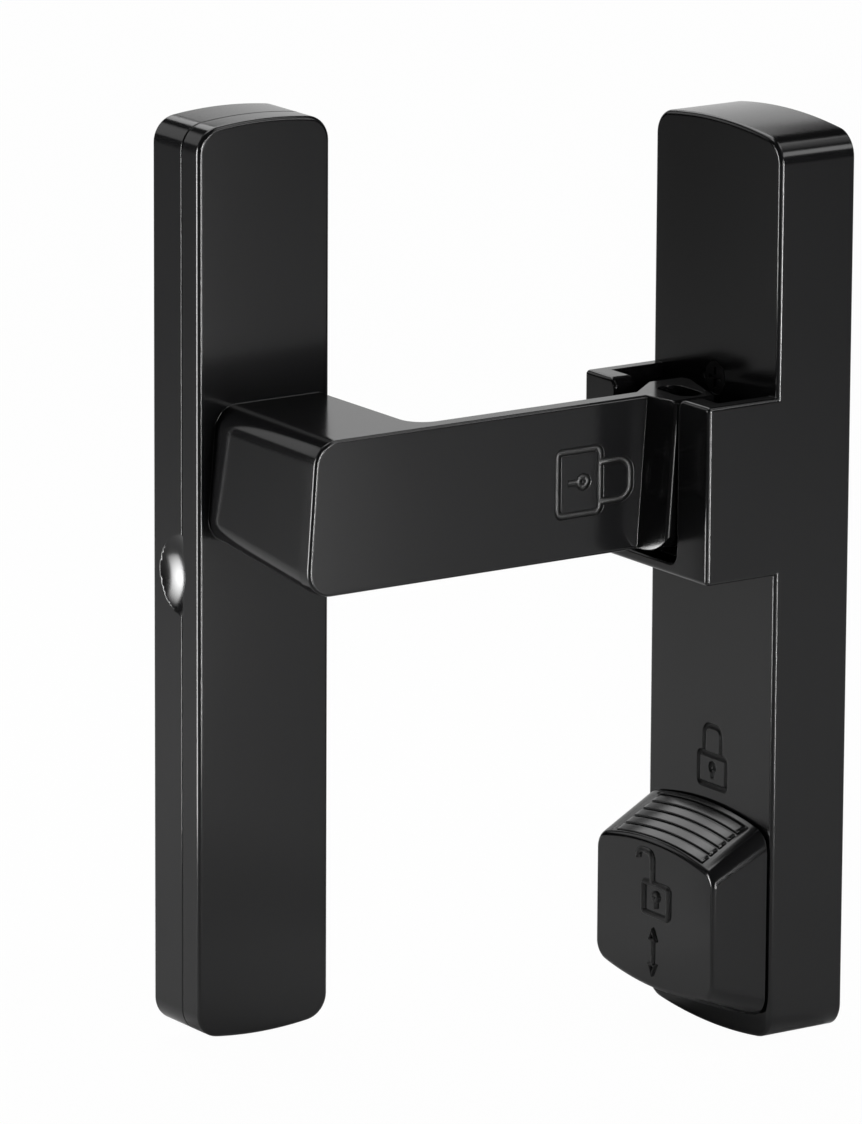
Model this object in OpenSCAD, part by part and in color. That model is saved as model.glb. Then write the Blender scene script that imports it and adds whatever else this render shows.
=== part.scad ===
// Barn door latch in two halves. The tall housing stands on the door jamb and carries an open
// receiver and a thumb slider. The door half carries an arm whose hollow hook head runs into the
// receiver when the door closes. Pushing the slider up lifts a T-shaped foot into the hook head.
// X runs across the opening (0 is the jamb face), Y runs away from the room, Z is up.

/* [Shown piece] */
// piece to build on its own, or all of them

/* [Jamb housing] */
// height of the housing and of the door half, at the crown
body_h = 108; // [96:1:130]
// width of the housing along the jamb
body_w = 24.6; // [24:0.2:32]
// depth of the housing off the jamb
body_t = 10.4; // [10.2:0.2:14]
// corner radius of the housing and the door half
corner_r = 3; // [2:0.5:4]
// rise of the curved housing ends at mid width
jamb_crown = 1.1; // [0.6:0.1:2]
// front wall of the housing
front_wall = 2; // [1.6:0.1:2.4]
// side and end walls of the housing
side_wall = 1.6; // [1.2:0.1:2]
// thickness of the jamb plate
plate_t = 2; // [1.8:0.1:2.4]
// gap round the jamb plate inside the housing
plate_gap = 0.2; // [0.1:0.05:0.4]
// bevel along the long front edges
edge_bevel = 0.5; // [0.3:0.1:0.8]

/* [Receiver] */
// how far the receiver stands off the housing front
receiver_reach = 9.7; // [9.4:0.1:12]
// height of the receiver
receiver_h = 20.9; // [20.5:0.1:26]
// underside of the receiver above mid height
receiver_z = 2.45; // [0:0.05:6]
// thickness of the lips beside the mouth
lip_t = 2.8; // [2:0.1:3.2]
// width of the mouth
mouth_w = 12.4; // [12:0.1:14]
// side walls behind the lips
receiver_wall = 2; // [1.4:0.1:2.6]
// receiver floor
floor_t = 1.4; // [1.2:0.1:1.6]
// rounding of the lips at the top of the mouth
lip_r = 1.4; // [0.8:0.1:2]

/* [Hook arm] */
// thickness of the arm plate
arm_t = 2.1; // [1.8:0.1:2.6]
// height of the arm
arm_h = 18; // [17:0.5:20]
// height of the arm's underside over the receiver floor
arm_lift = 1; // [0.6:0.1:1.6]
// distance from the middle of the arm plate back to the cover front
arm_step = 20.7; // [18:0.1:24]
// corner radius at the arm's free left end
arm_corner_r = 3; // [2:0.5:4]
// lean of the arm's left end and of the crease, in degrees
arm_rake = 4; // [0:0.5:5]
// width of the leg at the cover
leg_w = 14.6; // [13:0.1:15]
// how much taller the leg gets from the cover to the arm
leg_flare = 2; // [0:0.1:3]
// fillet between the leg and the back of the arm
arm_fillet = 3; // [1:0.5:4]
// wall of the hollow leg
leg_wall = 2.2; // [1.8:0.1:3]

/* [Hook head] */
// gap between the hook head and the mouth, each side
hook_gap = 0.3; // [0.25:0.05:0.6]
// length of the hook head from crease to tip
head_len = 9.8; // [8.8:0.1:10]
// corner radius of the hook head
head_r = 1.2; // [0.8:0.1:1.6]
// how far the near corner sits back from the far corner
head_sweep = 2.6; // [1:0.1:3]
// width of the flat shoulder on the room side of the arm
head_shoulder = 4.4; // [3.6:0.1:4.6]
// rounding of the head's upper corners, seen along the arm
head_top_r = 1.4; // [1:0.1:2]
// rounding of the head's lower corners, seen along the arm
head_low_r = 3.8; // [2:0.1:4]
// half width of the lock pocket in the head
pocket_r = 1.7; // [1.5:0.1:1.8]
// straight length of the lock pocket
pocket_run = 2.8; // [2:0.1:3]
// depth of the open recess in the top of the head
head_recess = 4; // [2:0.5:5]
// web between the top recess and the lock pocket
head_web = 2.2; // [1.5:0.1:3]

/* [Thumb slider] */
// travel of the slider from open to locked
lock_travel = 10; // [9:0.5:10]
// how far the thumb slider stands off the housing
knob_reach = 7.5; // [6:0.5:9]
// height of the thumb slider at the housing
knob_h = 24.7; // [24:0.1:26]
// height of its front face
knob_face_h = 17.6; // [15:0.1:19]
// width of its front face
knob_face_w = 23.4; // [20:0.1:24]
// rise of its curved ends
knob_crown = 1.5; // [1:0.1:3]
// corner radius at the housing
knob_base_r = 2.7; // [2:0.1:4]
// corner radius at the front face
knob_face_r = 2.1; // [1:0.1:3]
// length of the finger grooves
groove_w = 17; // [12:0.5:18]
// middle of the slider above the housing's lower end, when open
knob_foot = 14.8; // [13.6:0.1:16]
// gap between the slider and the housing front
slide_gap = 0.3; // [0.25:0.05:0.5]
// finger grooves on each sloping end
groove_count = 4; // [3:1:6]
// depth of a finger groove
groove_depth = 0.45; // [0.3:0.05:0.6]
// wall of the hollow slider
knob_wall = 1.8; // [1.5:0.1:2.4]

/* [Lock bar] */
// thickness of the lock bar strip
bar_t = 1.5; // [1.2:0.1:1.6]
// width of the strip
bar_w = 6; // [5.8:0.1:7]
// width of the neck through the head
neck_w = 2.2; // [1.8:0.1:2.4]
// gap round the neck and the T-shaped foot
lock_gap = 0.35; // [0.3:0.05:0.5]
// offset of the lock bar from the middle of the housing
lock_y = -1.05; // [-1.2:0.05:-0.9]

/* [Screws] */
// diameter of the machine screws
screw_d = 2; // [1.8:0.1:2.2]
// head diameter of the machine screws
screw_head_d = 3.8; // [3.4:0.1:4.2]
// radial gap between a screw or rivet and its hole
screw_fit = 0.05; // [0.03:0.01:0.08]
// diameter of the wood screw holes
mount_d = 4.2; // [3.6:0.1:4.6]
// head diameter of the wood screws
mount_head_d = 7; // [6.6:0.1:7.4]
// distance of the lower housing screw from the housing's end
screw_inset = 4.8; // [4.2:0.1:6]
// distance between the two jamb screws
jamb_pitch = 60; // [54:1:64]
// distance between the two door screws
door_pitch = 76; // [70:1:84]

/* [Door half] */
// width over both halves when closed
overall_w = 67.8; // [66:0.1:74]
// width of the door half
door_w = 17.8; // [17.4:0.1:20]
// rise of its curved ends
door_crown = 0.8; // [0.4:0.1:1.5]
// depth of the cover
cover_t = 3.5; // [3.2:0.1:4.5]
// depth of the base
base_t = 6.3; // [6:0.1:8]
// floor of the base, against the door
base_floor = 2.2; // [2:0.1:2.6]
// side walls of the base
base_wall = 2.4; // [2.2:0.1:2.6]
// front wall of the cover
cover_wall = 1.7; // [1.5:0.1:2]
// height of the door half above the jamb half
door_rise = 1.55; // [0:0.05:2]
// width of the finger scoop at the seam
scoop_w = 9.6; // [8:0.2:11]
// depth of the finger scoop
scoop_depth = 1.4; // [0.8:0.1:1.6]
// middle of the scoop above mid height
scoop_z = 2.6; // [0:0.05:8]
// distance between the two cover clips
clip_pitch = 56; // [52:1:60]
// thickness of the clip strip
clip_t = 0.5; // [0.4:0.05:0.6]
// width of a clip
clip_w = 7; // [6:0.5:8]
// gap between a clip and the cover's tongue
clip_gap = 0.05; // [0.03:0.01:0.08]

/* [Hidden] */
$fn = 64;
over = 0.01;
cut = 1;
black = [0.07, 0.07, 0.08];
dark = [0.16, 0.16, 0.17];
steel = [0.62, 0.63, 0.65];
nylon = [0.82, 0.82, 0.78];

face_x = -body_t;
inner_x = face_x + front_wall;
tip_x = face_x - receiver_reach;
chamber_x = tip_x + lip_t;
floor_z = receiver_z + floor_t;
receiver_top = receiver_z + receiver_h;

plate_w = body_w - 2 * side_wall - 2 * plate_gap;
plate_h = body_h - 2 * side_wall - 2 * plate_gap;
bevel_end = 5;

left_x = -overall_w;
door_mid_x = left_x + door_w / 2;
cover_y = arm_step;
seam_y = cover_y + cover_t;
door_y = seam_y + base_t;

arm_z = floor_z + arm_lift;
arm_top = arm_z + arm_h;
arm_mid_z = arm_z + arm_h / 2;
leg_x = left_x + (door_w - leg_w) / 2 + 0.2;
leg_right = leg_x + leg_w;
rake_lean = tan(arm_rake);

head_w = mouth_w - 2 * hook_gap;
head_clear = 1.1;
head_end_x = face_x - head_clear;
crease_x = head_end_x - head_len;
pocket_back = 4.6;
pocket_x = head_end_x - pocket_back;
pocket_top = floor_z + lock_travel + 1;

bar_x = inner_x + slide_gap;
bar_back_x = bar_x + bar_t;
foot_z = receiver_z;
foot_r = pocket_r - 0.5;
foot_run = pocket_run - 0.4;

knob_w = body_w - 0.4;
knob_back_x = face_x - slide_gap;
knob_z = knob_foot - body_h / 2;
knob_face_z = knob_z - 0.5;

carriage_w = 12.8;
carriage_h = 16;
carriage_t = body_t - front_wall - plate_t - slide_gap - 2.2;
carriage_z = knob_z + 1.2 - carriage_h / 2;
carriage_back_x = bar_x + carriage_t;
bar_foot_z = carriage_z + carriage_h / 2;
bar_rivet_d = 1.4;
bar_rivet_y = 1.6;
bar_rivet_z = bar_foot_z + carriage_h / 4;
stem_w = 6.8;
stem_h = 6;
stem_z = carriage_z + 1.3;
knob_screw_y = 1.9;
knob_screw_l = 4;
knob_bore = 1.5;
rib_t = 1.4;

screw_upper_z = receiver_top + 0.2;
screw_lower_z = screw_inset - body_h / 2;
boss_r = 2.4;
jamb_mount_z = 6;

spring_y = 5;
spring_w = 2.6;
spring_t = 0.4;
spring_pad = 1.8;
spring_z = carriage_z + 2;
bump_d = 1.6;
bump_drop = 3.5;
bump_z = carriage_z + carriage_h - bump_drop;
plate_x = -plate_t;

rivet_d = 1.2;
rivet_head_d = 2.4;
rivet_sunk = 1.5;
clip_post_d = 2;
clip_head_d = 1.8;
tongue_t = 2;

// flat outline with straight sides, round corners and gently curved ends
module crowned(w, h, r, crown) {
    end_r = (w * w / 4 + crown * crown) / (2 * crown);
    end_z = h / 2 - end_r;
    corner_z = end_z + sqrt(pow(end_r - r, 2) - pow(w / 2 - r, 2));
    touch = (w / 2 - r) * end_r / (end_r - r);
    square([w, 2 * corner_z], center = true);
    for (side = [-1, 1]) {
        for (end = [-1, 1])
            translate([side * (w / 2 - r), end * corner_z])
                circle(r);
        intersection() {
            translate([0, side * end_z])
                circle(end_r, $fn = 360);
            translate([-touch, side > 0 ? 0 : -h])
                square([2 * touch, h]);
        }
    }
}

// stands a flat outline up in the YZ plane, from x1 to x2
module along_x(x1, x2) {
    translate([x1, 0, 0])
        rotate([90, 0, 90])
            linear_extrude(x2 - x1)
                children();
}

// stands a flat outline up in the XZ plane, from y1 to y2
module along_y(y1, y2) {
    translate([0, y2, 0])
        rotate([90, 0, 0])
            linear_extrude(y2 - y1)
                children();
}

// round bar along X, from x1 to x2
module rod_x(x1, x2, d) {
    translate([x1, 0, 0])
        rotate([0, 90, 0])
            cylinder(d = d, h = x2 - x1);
}

// countersunk cone along X, wide end at x1
module cone_x(x1, depth, d1, d2) {
    translate([x1, 0, 0])
        rotate([0, 90, 0])
            cylinder(d1 = d1, d2 = d2, h = depth);
}

// round bar along Y, from y1 to y2
module rod_y(y1, y2, d) {
    translate([0, y2, 0])
        rotate([90, 0, 0])
            cylinder(d = d, h = y2 - y1);
}

module box(x1, x2, y1, y2, z1, z2) {
    translate([x1, y1, z1])
        cube([x2 - x1, y2 - y1, z2 - z1]);
}

// bevel cutters for the two long front edges at depth x
module front_bevels(x, z1, z2) {
    bevel_side = edge_bevel * sqrt(2);
    for (side = [-1, 1])
        translate([x, side * body_w / 2, (z1 + z2) / 2])
            rotate([0, 0, 45])
                cube([bevel_side, bevel_side, z2 - z1], center = true);
}

// mouth of the receiver seen from the front: round lower corners, lips rounded at the top
module mouth_outline() {
    low_r = 1.3;
    half = mouth_w / 2;
    rim = receiver_top - lip_r;
    translate([-half, floor_z + low_r])
        square([mouth_w, receiver_h]);
    translate([-half + low_r, floor_z])
        square([mouth_w - 2 * low_r, low_r + cut]);
    for (side = [-1, 1]) {
        translate([side * (half - low_r), floor_z + low_r])
            circle(low_r);
        difference() {
            translate([side * (half + lip_r / 2), rim + (lip_r + cut) / 2])
                square([lip_r + over, lip_r + cut], center = true);
            translate([side * (half + lip_r), rim])
                circle(lip_r);
        }
    }
}

module screw_hole_x(z) {
    translate([0, 0, z]) {
        rod_x(face_x - cut, inner_x + cut, screw_d + 0.4);
        cone_x(face_x - over, (screw_head_d - screw_d) / 2, screw_head_d + 0.2, screw_d + 0.2);
    }
}

// slot for the foot of the lock bar: wide at the foot so that it can be put in, narrow above
module lock_slot() {
    foot_w = 2 * (foot_r + lock_gap) + foot_run;
    box(pocket_x, inner_x + cut, lock_y - foot_w / 2, lock_y + foot_w / 2,
        foot_z - lock_gap, floor_z + lock_gap);
    box(face_x - cut, inner_x + cut, lock_y - neck_w / 2 - lock_gap, lock_y + neck_w / 2 + lock_gap,
        foot_z, floor_z + lock_travel + lock_gap);
    for (side = [-1, 1])
        translate([pocket_x, lock_y + side * foot_run / 2, foot_z - lock_gap])
            cylinder(r = foot_r + lock_gap, h = floor_t + 2 * lock_gap);
    box(pocket_x - foot_r - lock_gap, pocket_x, lock_y - foot_run / 2, lock_y + foot_run / 2,
        foot_z - lock_gap, floor_z + lock_gap);
}

module catch_housing() {
    color(black)
    difference() {
        union() {
            along_x(face_x, 0)
                crowned(body_w, body_h, corner_r, jamb_crown);
            box(tip_x, face_x + over, -body_w / 2, body_w / 2, receiver_z, receiver_top);
        }
        along_x(inner_x, cut)
            crowned(body_w - 2 * side_wall, body_h - 2 * side_wall, corner_r - side_wall + 0.4, jamb_crown);
        along_x(tip_x - cut, chamber_x + over)
            mouth_outline();
        box(chamber_x, face_x, receiver_wall - body_w / 2, body_w / 2 - receiver_wall,
            floor_z, receiver_top + cut);
        lock_slot();
        screw_hole_x(screw_upper_z);
        screw_hole_x(screw_lower_z);
        box(face_x - cut, inner_x + cut, -stem_w / 2 - slide_gap, stem_w / 2 + slide_gap,
            stem_z - slide_gap, stem_z + stem_h + lock_travel + slide_gap);
        front_bevels(face_x, receiver_top + edge_bevel, body_h / 2 - bevel_end);
        front_bevels(face_x, bevel_end - body_h / 2, receiver_z - edge_bevel);
        front_bevels(tip_x, receiver_z - cut, receiver_top + cut);
    }
    color(black)
    for (side = [-1, 1])
        translate([0, side * (carriage_w / 2 + slide_gap + rib_t / 2), 0])
            box(inner_x - over, bar_back_x + 1.5, -rib_t / 2, rib_t / 2,
                carriage_z - 1, carriage_z + carriage_h + lock_travel + 1);
}

module jamb_plate() {
    color(dark)
    difference() {
        union() {
            along_x(plate_x, 0)
                crowned(plate_w, plate_h, corner_r - side_wall + 0.2, jamb_crown);
            for (z = [screw_upper_z, screw_lower_z])
                translate([0, 0, z])
                    rod_x(inner_x, plate_x + over, 2 * boss_r);
        }
        for (z = [screw_upper_z, screw_lower_z])
            translate([0, 0, z])
                rod_x(inner_x - cut, plate_x + 1, screw_d + 2 * screw_fit);
        for (end = [-1, 1])
            translate([0, 0, jamb_mount_z + end * jamb_pitch / 2]) {
                rod_x(plate_x - cut, cut, mount_d);
                cone_x(plate_x - over, (mount_head_d - mount_d) / 2, mount_head_d, mount_d);
            }
        translate([0, spring_y, spring_z])
            rod_x(plate_x - cut, plate_x + rivet_sunk, rivet_d + 2 * screw_fit);
    }
}

// countersunk machine screw along X with a cross slot
module housing_screw(z) {
    color(steel)
    translate([0, 0, z])
        difference() {
            union() {
                rod_x(face_x + over, plate_x + 0.6, screw_d);
                cone_x(face_x, (screw_head_d - screw_d) / 2, screw_head_d, screw_d);
            }
            for (turn = [0, 90])
                rotate([turn, 0, 0])
                    box(face_x - cut, face_x + 0.5, -0.25, 0.25, -screw_head_d * 0.32, screw_head_d * 0.32);
        }
}

module housing_screw_upper() {
    housing_screw(screw_upper_z);
}

module housing_screw_lower() {
    housing_screw(screw_lower_z);
}

// leaf with a bump that clicks into the grooves of the carriage
module detent_spring() {
    leaf_x = carriage_back_x + slide_gap + bump_d / 2 - spring_t / 2;
    color(steel)
    difference() {
        union() {
            translate([0, spring_y - spring_w / 2, 0])
                along_y(0, spring_w)
                    polygon([[plate_x, spring_z - spring_pad], [plate_x, spring_z + spring_pad],
                             [leaf_x + spring_t, bump_z], [leaf_x + spring_t, bump_z + spring_pad],
                             [leaf_x, bump_z + spring_pad], [leaf_x, bump_z],
                             [plate_x - spring_t, spring_z + spring_pad],
                             [plate_x - spring_t, spring_z - spring_pad]]);
            translate([leaf_x + spring_t / 2, 0, bump_z])
                rod_y(spring_y - spring_w / 2, spring_y + spring_w / 2, bump_d);
        }
        translate([0, spring_y, spring_z])
            rod_x(plate_x - cut, plate_x + cut, rivet_d + 2 * screw_fit);
        box(leaf_x + spring_t, plate_x, spring_y - spring_w, spring_y + spring_w,
            bump_z - cut, bump_z + cut);
    }
}

module spring_rivet() {
    color(steel)
    translate([0, spring_y, spring_z]) {
        rod_x(plate_x - spring_t - over, plate_x + rivet_sunk, rivet_d);
        rod_x(plate_x - spring_t - rivet_d / 2.5, plate_x - spring_t, rivet_head_d);
    }
}

module slider_carriage() {
    color(nylon)
    difference() {
        box(bar_x, carriage_back_x, -carriage_w / 2, carriage_w / 2, carriage_z, carriage_z + carriage_h);
        box(bar_x - cut, bar_back_x, lock_y - bar_w / 2 - 0.1, lock_y + bar_w / 2 + 0.1,
            bar_foot_z - 0.1, carriage_z + carriage_h + cut);
        for (side = [-1, 1]) {
            translate([0, side * knob_screw_y, stem_z + stem_h / 2]) {
                rod_x(bar_x - cut, carriage_back_x + cut, screw_d + 0.2);
                rod_x(carriage_back_x - knob_bore, carriage_back_x + cut, screw_head_d - 0.2);
            }
            translate([0, lock_y + side * bar_rivet_y, bar_rivet_z])
                rod_x(bar_x - cut, carriage_back_x + cut, bar_rivet_d + 2 * screw_fit);
        }
        for (step = [0, 1])
            translate([carriage_back_x + 0.7, 0, bump_z - step * lock_travel])
                rod_y(spring_y - spring_w / 2 - 0.2, carriage_w / 2 + cut, 2.6);
    }
}

// one layer of the thumb slider, at a depth between 0 (housing) and 1 (front face)
module knob_layer(depth, inset) {
    w = knob_w + (knob_face_w - knob_w) * depth;
    h = knob_h + (knob_face_h - knob_h) * depth;
    r = knob_base_r + (knob_face_r - knob_base_r) * depth;
    translate([0, knob_z + (knob_face_z - knob_z) * depth])
        crowned(w - 2 * inset, h - 2 * inset, max(r - inset, 0.6), knob_crown);
}

module slider_knob() {
    face = knob_back_x - knob_reach;
    color(black)
    difference() {
        hull() {
            along_x(knob_back_x - 0.4, knob_back_x)
                knob_layer(0, 0);
            along_x(face, face + 0.2)
                knob_layer(1, 0);
        }
        hull() {
            along_x(knob_back_x - 0.4, knob_back_x + cut)
                knob_layer(0, knob_wall);
            along_x(face + knob_wall, face + knob_wall + 0.2)
                knob_layer(1, knob_wall);
        }
        for (i = [1 : groove_count]) {
            depth = i / (groove_count + 1);
            along_x(knob_back_x - depth * knob_reach - 0.25, knob_back_x - depth * knob_reach + 0.25)
                difference() {
                    translate([0, knob_z])
                        square([groove_w, knob_h + 2], center = true);
                    knob_layer(depth, groove_depth);
                }
        }
    }
    color(black)
    difference() {
        box(face + knob_wall - over, bar_x, -stem_w / 2, stem_w / 2, stem_z, stem_z + stem_h);
        for (side = [-1, 1])
            translate([0, side * knob_screw_y, stem_z + stem_h / 2])
                rod_x(face + knob_wall + 1, bar_x + cut, screw_d + 2 * screw_fit);
    }
}

module knob_screws() {
    color(steel)
    for (side = [-1, 1])
        translate([0, side * knob_screw_y, stem_z + stem_h / 2])
            difference() {
                union() {
                    rod_x(knob_back_x - knob_screw_l, carriage_back_x - knob_bore + over, screw_d);
                    rod_x(carriage_back_x - knob_bore, carriage_back_x - 0.3, screw_head_d - 0.6);
                }
                box(carriage_back_x - 0.8, carriage_back_x + cut, -0.25, 0.25, -1.2, 1.2);
            }
}

// T-shaped foot of the lock bar seen from above
module foot_outline() {
    for (side = [-1, 1])
        translate([pocket_x, lock_y + side * foot_run / 2])
            circle(foot_r);
    translate([pocket_x - foot_r, lock_y - foot_run / 2])
        square([2 * foot_r, foot_run]);
    translate([pocket_x, lock_y - neck_w / 2])
        square([bar_x - pocket_x + over, neck_w]);
}

module lock_bar() {
    color(steel)
    difference() {
        union() {
            box(bar_x, bar_back_x, lock_y - bar_w / 2, lock_y + bar_w / 2, bar_foot_z, floor_z);
            translate([0, 0, foot_z])
                linear_extrude(floor_t)
                    foot_outline();
        }
        for (side = [-1, 1])
            translate([0, lock_y + side * bar_rivet_y, bar_rivet_z])
                rod_x(bar_x - cut, bar_back_x + cut, bar_rivet_d + 2 * screw_fit);
    }
}

module bar_rivets() {
    color(steel)
    for (side = [-1, 1])
        translate([0, lock_y + side * bar_rivet_y, bar_rivet_z])
            rod_x(bar_x, carriage_back_x, bar_rivet_d);
}

// outline of the door half, or of a ring inside it
module door_outline(inset) {
    translate([door_mid_x, door_rise])
        crowned(door_w - 2 * inset, body_h - 2 * inset, max(corner_r - inset, 0.6), door_crown);
}

// finger scoop in the left side of the base, a half round that starts at the seam
module scoop() {
    r = (scoop_w * scoop_w / 4 + scoop_depth * scoop_depth) / (2 * scoop_depth);
    translate([left_x - r + scoop_depth, seam_y, scoop_z])
        sphere(r, $fn = 96);
}

// shallow nick in the edge of the cover that meets the scoop
module scoop_nick() {
    translate([left_x, seam_y + scoop_w / 2 - 0.7, scoop_z])
        scale([0.16, 1, 1])
            sphere(d = scoop_w, $fn = 96);
}

module door_base() {
    floor_y = door_y - base_floor;
    color(black)
    difference() {
        along_y(seam_y, door_y)
            door_outline(0);
        along_y(seam_y - cut, floor_y)
            door_outline(base_wall);
        for (end = [-1, 1]) {
            translate([door_mid_x, 0, door_rise + end * door_pitch / 2]) {
                rod_y(floor_y - cut, door_y + cut, mount_d);
                translate([0, floor_y + (mount_head_d - mount_d) / 2, 0])
                    rotate([90, 0, 0])
                        cylinder(d1 = mount_d, d2 = mount_head_d, h = (mount_head_d - mount_d) / 2 + over);
            }
            translate([door_mid_x, 0, door_rise + end * clip_pitch / 2])
                rod_y(floor_y - cut, door_y - 0.5, clip_post_d + 2 * screw_fit);
        }
        scoop();
    }
}

// leg section in the XZ plane at the arm (1) or at the cover (0)
module leg_section(y, flare) {
    low = arm_top - arm_h + leg_flare * (1 - flare) + arm_corner_r;
    lean = rake_lean * (arm_top - arm_corner_r - arm_mid_z);
    shift = -0.6 * flare;
    along_y(y, y + 0.2) {
        translate([leg_x + shift + lean + arm_corner_r, arm_top - arm_corner_r])
            circle(arm_corner_r);
        translate([leg_x + shift - lean + arm_corner_r, low])
            circle(arm_corner_r);
        translate([leg_right - 1, low - arm_corner_r])
            square([1, arm_top - low + arm_corner_r]);
    }
}

// front plate of the arm, with the raked and rounded left end
module arm_plate() {
    lean = rake_lean * (arm_h / 2 - arm_corner_r);
    left = leg_x - 0.6 + arm_corner_r;
    top = [left + lean, arm_top - arm_corner_r];
    low = [left - lean, arm_z + arm_corner_r];
    reach = arm_corner_r * [-cos(arm_rake), sin(arm_rake)];
    along_y(-arm_t / 2, arm_t / 2) {
        translate(top)
            circle(arm_corner_r);
        translate(low)
            circle(arm_corner_r);
        polygon([top + reach, top, [top[0], arm_top], [crease_x + 2, arm_top],
                 [crease_x + 2, arm_z], [low[0], arm_z], low, low + reach]);
    }
}

// hook head seen along the arm, with rounded corners
module head_front() {
    hull()
        for (side = [-1, 1]) {
            translate([side * (head_w / 2 - head_top_r), arm_top - head_top_r])
                circle(head_top_r);
            translate([side * (head_w / 2 - head_low_r), arm_z + 0.15 + head_low_r])
                circle(head_low_r);
        }
}

// hook head, leaning like the crease: a flat shoulder on the room side, a slope on the far side
module hook_head() {
    half = head_w / 2 - head_r;
    end = head_len - head_r - 0.7;
    intersection() {
        translate([crease_x, 0, arm_mid_z])
            rotate([0, arm_rake, 0])
                translate([0, 0, -arm_h])
                    linear_extrude(2 * arm_h)
                        hull() {
                            translate([0, -arm_t / 2])
                                square([0.2, arm_t]);
                            translate([end, half])
                                circle(head_r);
                            translate([end - head_sweep, -half])
                                circle(head_r);
                            translate([head_r / 2, head_r / 2 - arm_t / 2 - head_shoulder])
                                circle(head_r / 2);
                        }
        along_x(crease_x - 3, head_end_x + cut)
            head_front();
    }
}

// lock pocket outline seen from above
module pocket_outline(r) {
    for (side = [-1, 1])
        translate([pocket_x, lock_y + side * pocket_run / 2])
            circle(r);
    translate([pocket_x - r, lock_y - pocket_run / 2])
        square([2 * r, pocket_run]);
}

module cover_arm() {
    shell_y = cover_y + cover_wall;
    color(black)
    difference() {
        union() {
            along_y(cover_y, seam_y)
                door_outline(0);
            hull() {
                leg_section(-arm_t / 2, 1);
                leg_section(cover_y, 0);
            }
            arm_plate();
            hook_head();
            box(leg_right - 1, leg_right + arm_fillet, arm_t / 2 - over, arm_t / 2 + arm_fillet,
                arm_z, arm_top);
        }
        translate([leg_right + arm_fillet, arm_t / 2 + arm_fillet, arm_z - cut])
            cylinder(r = arm_fillet, h = arm_h + 2 * cut);
        along_y(shell_y, seam_y + cut)
            door_outline(base_wall);
        box(leg_x + leg_wall, leg_right - leg_wall, arm_t / 2 + 1, shell_y + cut,
            arm_z + leg_flare + leg_wall, arm_top - leg_wall);
        translate([0, 0, arm_top - head_recess])
            linear_extrude(head_recess + cut)
                pocket_outline(pocket_r);
        translate([0, 0, arm_z - cut])
            linear_extrude(min(pocket_top, arm_top - head_recess - head_web) - arm_z + cut)
                pocket_outline(pocket_r);
        box(pocket_x, head_end_x + cut, lock_y - neck_w / 2 - lock_gap, lock_y + neck_w / 2 + lock_gap,
            arm_z - cut, pocket_top);
        scoop_nick();
    }
    color(black)
    for (end = [-1, 1])
        translate([door_mid_x, 0, door_rise + end * clip_pitch / 2])
            box(-clip_w / 2, clip_w / 2, shell_y - over, door_y - base_floor - clip_t - 0.5,
                -tongue_t / 2, tongue_t / 2);
}

// spring clip on the floor of the base that grips the cover's tongue
module cover_clip(z) {
    floor_y = door_y - base_floor;
    half = tongue_t / 2 + clip_gap;
    color(steel)
    difference() {
        translate([0, 0, z]) {
            box(door_mid_x - clip_w / 2, door_mid_x + clip_w / 2, floor_y - clip_t, floor_y,
                -half - clip_t, half + clip_t);
            for (side = [-1, 1])
                box(door_mid_x - clip_w / 2, door_mid_x + clip_w / 2, floor_y - 3, floor_y,
                    side > 0 ? half : -half - clip_t, side > 0 ? half + clip_t : -half);
        }
        translate([door_mid_x, 0, z])
            rod_y(floor_y - clip_t - cut, floor_y + cut, rivet_d + 2 * screw_fit);
    }
}

module clip_upper() {
    cover_clip(door_rise + clip_pitch / 2);
}

module clip_lower() {
    cover_clip(door_rise - clip_pitch / 2);
}

module clip_rivets() {
    floor_y = door_y - base_floor;
    color(steel)
    for (end = [-1, 1])
        translate([door_mid_x, 0, door_rise + end * clip_pitch / 2]) {
            rod_y(floor_y, door_y - 0.5, clip_post_d);
            rod_y(floor_y - clip_t, floor_y + over, rivet_d);
            rod_y(floor_y - clip_t - 0.3, floor_y - clip_t, clip_head_d);
        }
}

jamb_plate();
catch_housing();
housing_screw_upper();
housing_screw_lower();
detent_spring();
spring_rivet();
slider_knob();
slider_carriage();
knob_screws();
lock_bar();
bar_rivets();
door_base();
cover_arm();
clip_upper();
clip_lower();
clip_rivets();
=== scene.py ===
"""Barn door latch in two halves: black moulded housings, a hook arm, an open receiver and a thumb slider.

Metres throughout. X runs across the opening with the jamb face at 0, Y runs away from the room, Z is up.
"""

import math

import bmesh
import bpy
from mathutils import Matrix, Vector


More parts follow.
